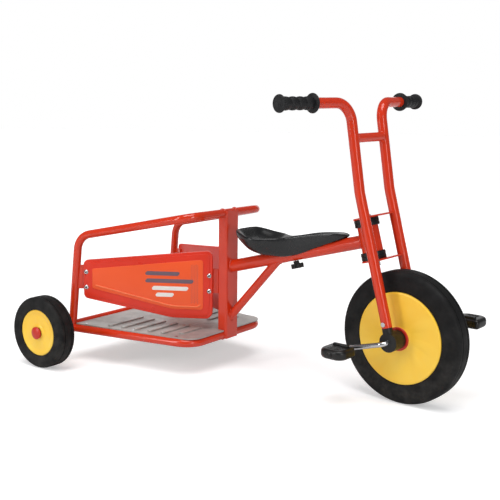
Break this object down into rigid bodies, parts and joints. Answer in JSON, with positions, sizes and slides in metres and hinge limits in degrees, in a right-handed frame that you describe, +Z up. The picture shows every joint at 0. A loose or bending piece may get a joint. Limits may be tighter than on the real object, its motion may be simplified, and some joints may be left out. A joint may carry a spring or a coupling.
{
  "type": "children's tricycle",
  "caption": "Passenger tricycle for small children: steel tube frame, pedalled front wheel with high handlebar, slotted saddle clamp, standing deck behind with side panels and hand rail.",
  "frame": {"origin": "on the floor, under the middle of the length and the middle of the width", "axes": "+X forwards, towards the front wheel; +Y the rider's left; +Z up"},
  "size_m": [1.1614, 0.694, 0.7358],
  "materials": {
    "red_paint": "glossy powder coat",
    "bright_steel": "zinc plated or polished",
    "deck_sheet": "pressed sheet, satin",
    "tyre_rubber": "matt, faintly grained",
    "yellow_plastic": "moulded, glossy",
    "panel_plastic": "moulded, glossy",
    "red_plastic": "moulded, glossy",
    "grip_rubber": "soft moulded, satin",
    "saddle_plastic": "moulded, glossy",
    "black_plastic": "moulded, satin"
  },
  "bodies": {
    "frame": {"deck_ring": "red_paint", "rear_axle_tube": "red_paint", "rear_axle_plugs": "black_plastic", "rear_axle": "bright_steel", "deck_plate": "deck_sheet", "deck_rivets": "bright_steel", "top_rail": "red_paint", "column": "red_paint", "main_tube": "red_paint", "brace": "red_paint", "head_tube": "red_paint", "head_bush_upper": "black_plastic", "head_bush_lower": "black_plastic", "panel_right": "panel_plastic", "panel_left": "panel_plastic", "post_bracket_right": "red_paint", "post_bracket_left": "red_paint", "column_bracket_right": "red_paint", "column_bracket_left": "red_paint", "panel_screws": "bright_steel", "panel_nuts": "bright_steel", "axle_caps": "red_plastic", "axle_washers": "bright_steel"},
    "fork": {"fork_tube_right": "red_paint", "fork_tube_left": "red_paint", "handlebar_crossbar": "red_paint", "fork_plate_upper": "red_paint", "fork_plate_lower": "red_paint", "king_bolt": "bright_steel", "king_nut": "bright_steel", "grip_right": "grip_rubber", "grip_left": "grip_rubber", "hub_bearing_right": "black_plastic", "hub_bearing_left": "black_plastic", "fork_screws": "bright_steel"},
    "front_wheel": {"front_tyre": "tyre_rubber", "front_disc_right": "yellow_plastic", "front_disc_left": "yellow_plastic", "hub_flange_right": "red_plastic", "hub_flange_left": "red_plastic", "front_axle": "bright_steel", "pedal_caps": "bright_steel"},
    "pedal_right_body": {"pedal_right": "black_plastic"},
    "pedal_left_body": {"pedal_left": "black_plastic"},
    "rear_wheel_right": {"rear_tyre_right": "tyre_rubber", "rear_disc_right": "yellow_plastic", "rear_bush_right": "black_plastic"},
    "rear_wheel_left": {"rear_tyre_left": "tyre_rubber", "rear_disc_left": "yellow_plastic", "rear_bush_left": "black_plastic"},
    "saddle": {"seat": "saddle_plastic", "seat_block": "black_plastic", "seat_stud": "bright_steel"},
    "knob": {"seat_knob": "black_plastic"}
  },
  "joints": [
    {"name": "steering", "type": "hinge", "parent": "frame", "child": "fork", "pos_m": [0.3805, 0, 0.16], "axis": [-0.2622, 0, 0.965], "range_deg": [-38.4, 51.6]},
    {"name": "front_wheel_spin", "type": "hinge", "parent": "fork", "child": "front_wheel", "pos_m": [0.42025, -0.00444, 0.15993], "axis": [0.1109, 0.9934, 0.0301], "continuous": true},
    {"name": "pedal_right_spin", "type": "hinge", "parent": "front_wheel", "child": "pedal_right_body", "pos_m": [0.30499, -0.12449, 0.12805], "axis": [0.1109, 0.9934, 0.0301], "continuous": true},
    {"name": "pedal_left_spin", "type": "hinge", "parent": "front_wheel", "child": "pedal_left_body", "pos_m": [0.53551, 0.11561, 0.19182], "axis": [0.1109, 0.9934, 0.0301], "continuous": true},
    {"name": "rear_wheel_right_spin", "type": "hinge", "parent": "frame", "child": "rear_wheel_right", "pos_m": [-0.4845, -0.314, 0.096], "axis": [0, 1, 0], "continuous": true},
    {"name": "rear_wheel_left_spin", "type": "hinge", "parent": "frame", "child": "rear_wheel_left", "pos_m": [-0.4845, 0.314, 0.096], "axis": [0, 1, 0], "continuous": true},
    {"name": "saddle_slide", "type": "slide", "parent": "frame", "child": "saddle", "axis": [0.9677, 0, 0.2521], "range_m": [-0.025, 0.025]},
    {"name": "knob_turn", "type": "hinge", "parent": "saddle", "child": "knob", "pos_m": [0.11506, 0, 0.29659], "axis": [0.2521, 0, -0.9677], "range_deg": [0, 360]}
  ]
}
